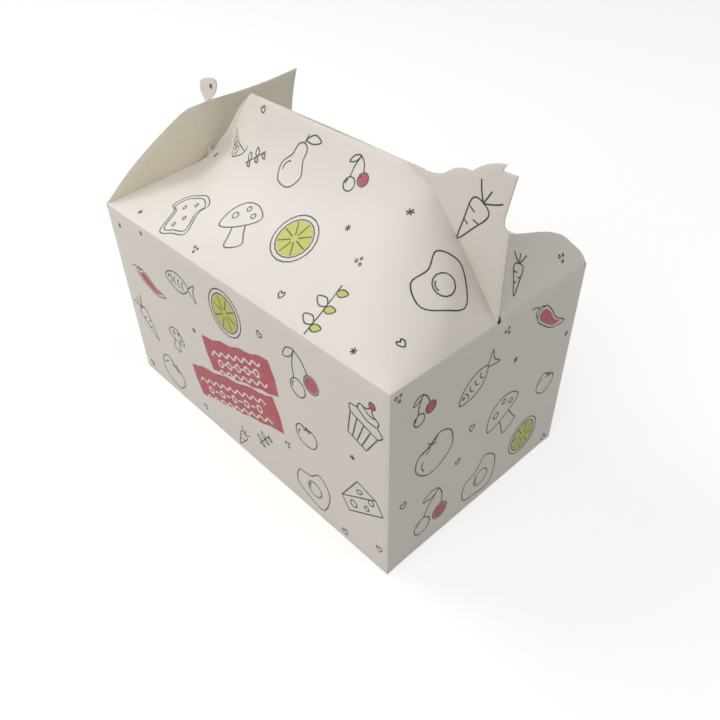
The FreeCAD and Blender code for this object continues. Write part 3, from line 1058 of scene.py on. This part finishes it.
def banner_rows(wall):
    """Two rough-edged red fields, one above the other, set askew on the front wall."""
    slant = math.radians(17)
    steps = 13
    rows = []
    for x, z, wide, high, shift in ((4, 62, 56, 19, 0), (-4, 38, 74, 19, 3)):
        low, top = [], []
        for index in range(steps + 1):
            run = (index / steps - 0.5) * wide
            low.append(Vector((run, 0.5 * math.sin(index * 2.1 + shift) - high / 2)))
            top.append(Vector((run, 0.6 * math.sin(index * 1.7 + shift + 1) + high / 2)))
        outline = low + [Vector((wide / 2 + 1.2, 0))] + top[::-1] + [Vector((-wide / 2 - 1.0, 0.5))]
        middle = wall.flat(Vector((x * MM, wall.origin.y, z * MM)))
        rows.append([middle + turn_flat(p, slant) * MM for p in outline])
    return rows


def draw_artwork(points, sizes):
    """Scatters the motifs over each face, and sets the red fields on the front."""
    artwork = Artwork()
    chance = random.Random(sizes.seed)
    faces = printed_faces(points)
    front_wall = faces[0]
    rows = banner_rows(front_wall)
    for number, row in enumerate(rows):
        lifted = [front_wall.place(p) + front_wall.normal * HOVER for p in row]
        artwork.fields["red"].append((lifted, -front_wall.normal))
        trim_banner(artwork, front_wall, row, number)
    front_wall.keep_off = [p for row in rows for p in row]
    # Each tier: size, room to the outline as a share of it, gap to its neighbours, and its motifs
    tiers = (
        (sizes.motif_size, 0.47, sizes.motif_pitch, MOTIFS),
        (sizes.motif_size * 0.62, 0.5, sizes.motif_pitch * 0.74, SMALL_MOTIFS),
        (FILLER_SIZE, 0.56, sizes.motif_pitch * 0.47, FILLERS),
    )
    bags = {MOTIFS: [], SMALL_MOTIFS: [], FILLERS: []}
    taken = []
    for face in faces:
        for size, share, gap, motifs in tiers:
            for _ in range(TRIES):
                spot = face.random_spot(chance)
                if face.room(spot) < size * share or crowded(face, spot, gap, taken):
                    continue
                if any((spot - p).length < size * 0.62 for p in face.keep_off):
                    continue
                if face is front_wall and any(inside(spot, row) for row in rows):
                    continue
                turn = math.radians(chance.uniform(-LARGEST_TURN, LARGEST_TURN))
                if not bags[motifs]:
                    bags[motifs] = chance.sample(motifs, len(motifs))
                drawn = size * chance.uniform(0.92, 1.06)
                artwork.stamp(face, spot, bags[motifs].pop(), drawn, turn)
                taken.append((face, face.place(spot), gap))
    return artwork


def crowded(face, spot, gap, taken):
    """Whether a motif here would touch one on this face or across a fold."""
    place = face.place(spot)
    for home, other, reach in taken:
        if home.normal.dot(face.normal) < -0.2:
            continue
        least = (gap + reach) / 2
        if home is not face:
            least *= 0.8
        if (place - other).length < least:
            return True
    return False


def trim_banner(artwork, face, row, number):
    """Pale waves, rings and dashes along a red field."""
    wave_inset, wave_offset, wave_height, wave_steps = 0.005, 0.0052, 0.0011, 60
    ring_inset, ring_radius, ring_count = 0.007, 0.0019, 5
    start = row[0].lerp(row[-1], 0.5)
    half = len(row) // 2
    end = row[half - 2].lerp(row[half + 1], 0.5)
    along = (end - start).normalized()
    across = Vector((-along.y, along.x))
    reach = (end - start).length

    def settle(run, rise):
        return face.place(start + along * run + across * rise) + face.normal * HOVER

    span = reach - 2 * wave_inset
    stops = [wave_inset + span * index / wave_steps for index in range(wave_steps + 1)]
    for offset in (-wave_offset, wave_offset):
        wave = [settle(run, offset + wave_height * math.sin(run * 900 + number)) for run in stops]
        artwork.add_line("pale", wave, False, -face.normal)
    pitch = (reach - 2 * ring_inset) / ring_count
    for index in range(ring_count):
        middle = ring_inset + pitch * (index + 0.5)
        points, _ = ring(0, 0, ring_radius, steps=12)
        artwork.add_line("pale", [settle(middle + p.x, p.y) for p in points], True, -face.normal)
        if index + 1 < ring_count:
            dash = [settle(middle + pitch * share, 0) for share in (0.35, 0.65)]
            artwork.add_line("pale", dash, False, -face.normal)


def add_socket(tree, name, kind, way="INPUT", default=None):
    """Adds a named input or output to a node tree."""
    socket = tree.interface.new_socket(name=name, in_out=way, socket_type=kind)
    if default is not None:
        socket.default_value = default


def print_tree(name, as_lines):
    """Drops flat artwork on the board along its stored way down, then gives it body and ink."""
    tree = bpy.data.node_groups.new(name, "GeometryNodeTree")
    add_socket(tree, "Artwork", "NodeSocketGeometry")
    add_socket(tree, "Board", "NodeSocketObject")
    add_socket(tree, "Ink", "NodeSocketMaterial")
    add_socket(tree, "Line Width", "NodeSocketFloat", default=0.0006)
    add_socket(tree, "Ink Height", "NodeSocketFloat", default=0.00004)
    add_socket(tree, "Geometry", "NodeSocketGeometry", "OUTPUT")
    make = node_maker(tree)
    given = make("NodeGroupInput").outputs
    board = make("GeometryNodeObjectInfo", {"Object": given["Board"]})
    aim = make("GeometryNodeInputNamedAttribute", {"Name": "aim"}, data_type="FLOAT_VECTOR")
    ray = make("GeometryNodeRaycast", {"Target Geometry": board.outputs["Geometry"],
                                       "Ray Direction": aim.outputs["Attribute"], "Ray Length": 2 * HOVER})
    normal = ray.outputs["Hit Normal"]
    keep = make("GeometryNodeStoreNamedAttribute",
                {"Geometry": given["Artwork"], "Name": "lie", "Value": normal},
                data_type="FLOAT_VECTOR", domain="POINT")
    missed = make("FunctionNodeBooleanMath", {0: ray.outputs["Is Hit"]}, operation="NOT")
    trim = make("GeometryNodeDeleteGeometry",
                {"Geometry": keep.outputs["Geometry"], "Selection": missed.outputs["Boolean"]},
                domain="POINT")
    lift = make("ShaderNodeVectorMath", {0: normal, "Scale": given["Ink Height"]}, operation="SCALE")
    settled = make("GeometryNodeSetPosition",
                   {"Geometry": trim.outputs["Geometry"], "Position": ray.outputs["Hit Position"],
                    "Offset": lift.outputs[0]})
    last = settled.outputs["Geometry"]
    if as_lines:
        lie = make("GeometryNodeInputNamedAttribute", {"Name": "lie"}, data_type="FLOAT_VECTOR")
        curves = make("GeometryNodeMeshToCurve", {"Mesh": last})
        facing = make("GeometryNodeSetCurveNormal",
                      {"Curve": curves.outputs["Curve"], "Normal": lie.outputs["Attribute"]}, mode="FREE")
        section = make("GeometryNodeCurvePrimitiveQuadrilateral",
                       {"Height": given["Line Width"], "Width": given["Ink Height"]})
        pen = make("GeometryNodeCurveToMesh",
                   {"Curve": facing.outputs["Curve"], "Profile Curve": section.outputs["Curve"],
                    "Fill Caps": True})
        last = pen.outputs["Mesh"]
    real = make("GeometryNodeRealizeInstances", {"Geometry": last})
    inked = make("GeometryNodeSetMaterial",
                 {"Geometry": real.outputs["Geometry"], "Material": given["Ink"]})
    make("NodeGroupOutput", {"Geometry": inked.outputs["Geometry"]})
    return tree


def print_piece(context, name, mesh, tree, material, width, height):
    """Runs the print tree over flat artwork and keeps the result as a plain piece."""
    raw = bpy.data.objects.new(name + "_flat", mesh)
    context.collection.objects.link(raw)
    press = raw.modifiers.new("press", "NODES")
    press.node_group = tree
    board = bpy.data.objects["folded_board"]
    values = {"Board": board, "Ink": material, "Line Width": width, "Ink Height": height}
    for socket in tree.interface.items_tree:
        if socket.in_out == "INPUT" and socket.name in values:
            press[socket.identifier] = values[socket.name]
    piece = plain_copy(context, raw, name)
    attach(piece, CAD_BODY)


def store_aims(mesh, aims):
    """Keeps each point's way down to the board."""
    values = [component for aim in aims for component in aim]
    mesh.attributes.new("aim", "FLOAT_VECTOR", "POINT").data.foreach_set("vector", values)


def field_mesh(name, fields, step):
    """Flat filled outlines, finely meshed so that they can follow a bend."""
    places, faces, aims = [], [], []
    for outline, aim in fields:
        blank = Blank(step)
        blank.panel(outline, -aim)
        first = len(places)
        blank.mesh.verts.index_update()
        places += [tuple(v.co) for v in blank.mesh.verts]
        faces += [[first + v.index for v in face.verts] for face in blank.mesh.faces]
        aims += [aim] * len(blank.mesh.verts)
        blank.mesh.free()
    mesh = bpy.data.meshes.new(name)
    mesh.from_pydata(places, [], faces)
    store_aims(mesh, aims)
    return mesh


class CARTON_OT_print(Operator):
    """Print the line-drawn motifs and the colour fields on the folded board"""

    bl_idname = "carton.print"
    bl_label = "Print"

    def execute(self, context):
        colours = context.scene.carton_colours
        sizes = context.scene.print_sizes
        artwork = draw_artwork(shape_points(context.scene.carton_sizes), sizes)
        lines = print_tree("draw_on_board", True)
        fields = print_tree("fill_on_board", False)
        pens = {
            "black": (ink("black_ink", tuple(colours.black), 0.25), sizes.line_width, sizes.ink_height),
            "pale": (ink("pale_ink", tuple(colours.outside), 0.0), sizes.line_width * 1.7,
                     sizes.ink_height * 2.2),
        }
        for name, (material, width, height) in pens.items():
            art = artwork.lines[name]
            mesh = bpy.data.meshes.new(name + "_line_art")
            mesh.from_pydata([tuple(p) for p in art["spots"]], art["edges"], [])
            store_aims(mesh, art["aims"])
            print_piece(context, "print_" + name, mesh, lines, material, width, height)
        inks = {"green": (colours.green, 0.3), "red": (colours.red, 0.12)}
        for name, (colour, thin) in inks.items():
            flat = field_mesh(name + "_art", artwork.fields[name], FIELD_STEP)
            material = ink(name + "_ink", tuple(colour), thin)
            print_piece(context, "print_" + name, flat, fields, material, sizes.line_width, sizes.ink_height)
        return {"FINISHED"}


class CARTON_OT_stage(Operator):
    """Set the floor, soft lamps and the camera"""

    bl_idname = "carton.stage"
    bl_label = "Stage"

    def execute(self, context):
        scene = context.scene
        floor_mesh = bpy.data.meshes.new("floor")
        reach = 3.0
        corners = [(-reach, -reach, 0), (reach, -reach, 0), (reach, reach, 0), (-reach, reach, 0)]
        floor_mesh.from_pydata(corners, [], [(0, 1, 2, 3)])
        floor = bpy.data.objects.new("floor", floor_mesh)
        context.collection.objects.link(floor)
        floor_mesh.materials.append(floor_material())
        set_world(scene)
        soft_lamp(context, "left_lamp", (-1.0, -0.35, 1.05), size=0.9, power=8.2)
        soft_lamp(context, "front_lamp", (0.12, -1.3, 1.0), size=1.1, power=8.7)
        soft_lamp(context, "right_lamp", (0.75, 0.45, 1.6), size=0.9, power=7.0)
        set_camera(context)
        scene.view_settings.view_transform = "Standard"
        return {"FINISHED"}


def floor_material():
    """White to the camera, pale to the light, and it keeps the carton's shadow."""
    material, make, shader = node_material("pale_floor")
    shader.inputs["Base Color"].default_value = (0.50, 0.49, 0.48, 1)
    shader.inputs["Roughness"].default_value = 0.9
    glow = make("ShaderNodeEmission", {"Color": (1, 1, 1, 1), "Strength": 0.60})
    both = make("ShaderNodeAddShader", {0: shader.outputs["BSDF"], 1: glow.outputs["Emission"]})
    seen = make("ShaderNodeMixShader", {0: seen_rays(make), 1: shader.outputs["BSDF"],
                                        2: both.outputs["Shader"]})
    output = material.node_tree.nodes["Material Output"]
    link(material, seen.outputs["Shader"], output.inputs["Surface"])
    return material


def seen_rays(make):
    """One for rays that show the floor or world itself, in the picture or in a gloss, and else zero."""
    path = make("ShaderNodeLightPath")
    total = path.outputs["Is Camera Ray"]
    for name in ("Is Glossy Ray", "Is Transmission Ray"):
        plus = make("ShaderNodeMath", {0: total, 1: path.outputs[name]}, operation="ADD", use_clamp=True)
        total = plus.outputs[0]
    return total


def set_world(scene):
    """Even grey light, seen as white."""
    world = bpy.data.worlds.new("studio")
    scene.world = world
    world.use_nodes = True
    tree = world.node_tree
    make = node_maker(tree)
    light = tree.nodes["Background"]
    light.inputs["Color"].default_value = (1.0, 0.985, 0.965, 1)
    light.inputs["Strength"].default_value = 0.26
    white = make("ShaderNodeBackground", {"Color": (1, 1, 1, 1)})
    mix = make("ShaderNodeMixShader", {0: seen_rays(make), 1: light.outputs[0], 2: white.outputs[0]})
    tree.links.new(mix.outputs[0], tree.nodes["World Output"].inputs["Surface"])


def soft_lamp(context, name, place, size, power):
    """A square area lamp aimed at the carton's middle."""
    lamp = bpy.data.lights.new(name, "AREA")
    lamp.size = size
    lamp.energy = power
    lamp.color = (1.0, 0.985, 0.96)
    holder = bpy.data.objects.new(name, lamp)
    context.collection.objects.link(holder)
    holder.location = place
    aim = Vector((0, 0, 0.08)) - Vector(place)
    holder.rotation_euler = aim.to_track_quat("-Z", "Y").to_euler()


def set_camera(context):
    """The viewpoint fitted to the photograph's six visible corners."""
    azimuth, elevation, roll = [math.radians(value) for value in (47.23, 39.36, -1.10)]
    camera = bpy.data.cameras.new("camera")
    camera.lens = 35.27
    camera.sensor_width = 36.0
    holder = bpy.data.objects.new("camera", camera)
    context.collection.objects.link(holder)
    back = Vector((math.sin(azimuth) * math.cos(elevation), -math.cos(azimuth) * math.cos(elevation),
                   math.sin(elevation)))
    holder.location = (0.22366, -0.18813, 0.26697)
    look = (-back).to_track_quat("-Z", "Y")
    holder.rotation_mode = "QUATERNION"
    holder.rotation_quaternion = look @ Quaternion(UP, roll)
    context.scene.camera = holder


class CARTON_PT_panel(Panel):
    """Lists the steps that build the carton"""

    bl_idname = "CARTON_PT_panel"
    bl_label = "Food Carton"
    bl_space_type = "VIEW_3D"
    bl_region_type = "UI"
    bl_category = "Carton"

    def draw(self, context):
        for step in STEPS:
            self.layout.operator(step.bl_idname)


STEPS = (CARTON_OT_board, CARTON_OT_print, CARTON_OT_stage)
CLASSES = (CartonSizes, PrintSizes, CartonColours) + STEPS + (CARTON_PT_panel,)


def register():
    for item in CLASSES:
        bpy.utils.register_class(item)
    bpy.types.Scene.carton_sizes = PointerProperty(type=CartonSizes)
    bpy.types.Scene.print_sizes = PointerProperty(type=PrintSizes)
    bpy.types.Scene.carton_colours = PointerProperty(type=CartonColours)


def unregister():
    del bpy.types.Scene.carton_colours
    del bpy.types.Scene.print_sizes
    del bpy.types.Scene.carton_sizes
    for item in reversed(CLASSES):
        bpy.utils.unregister_class(item)


def main():
    register()
    bpy.ops.carton.board()
    bpy.ops.carton.print()
    bpy.ops.carton.stage()


if __name__ == "__main__":
    main()
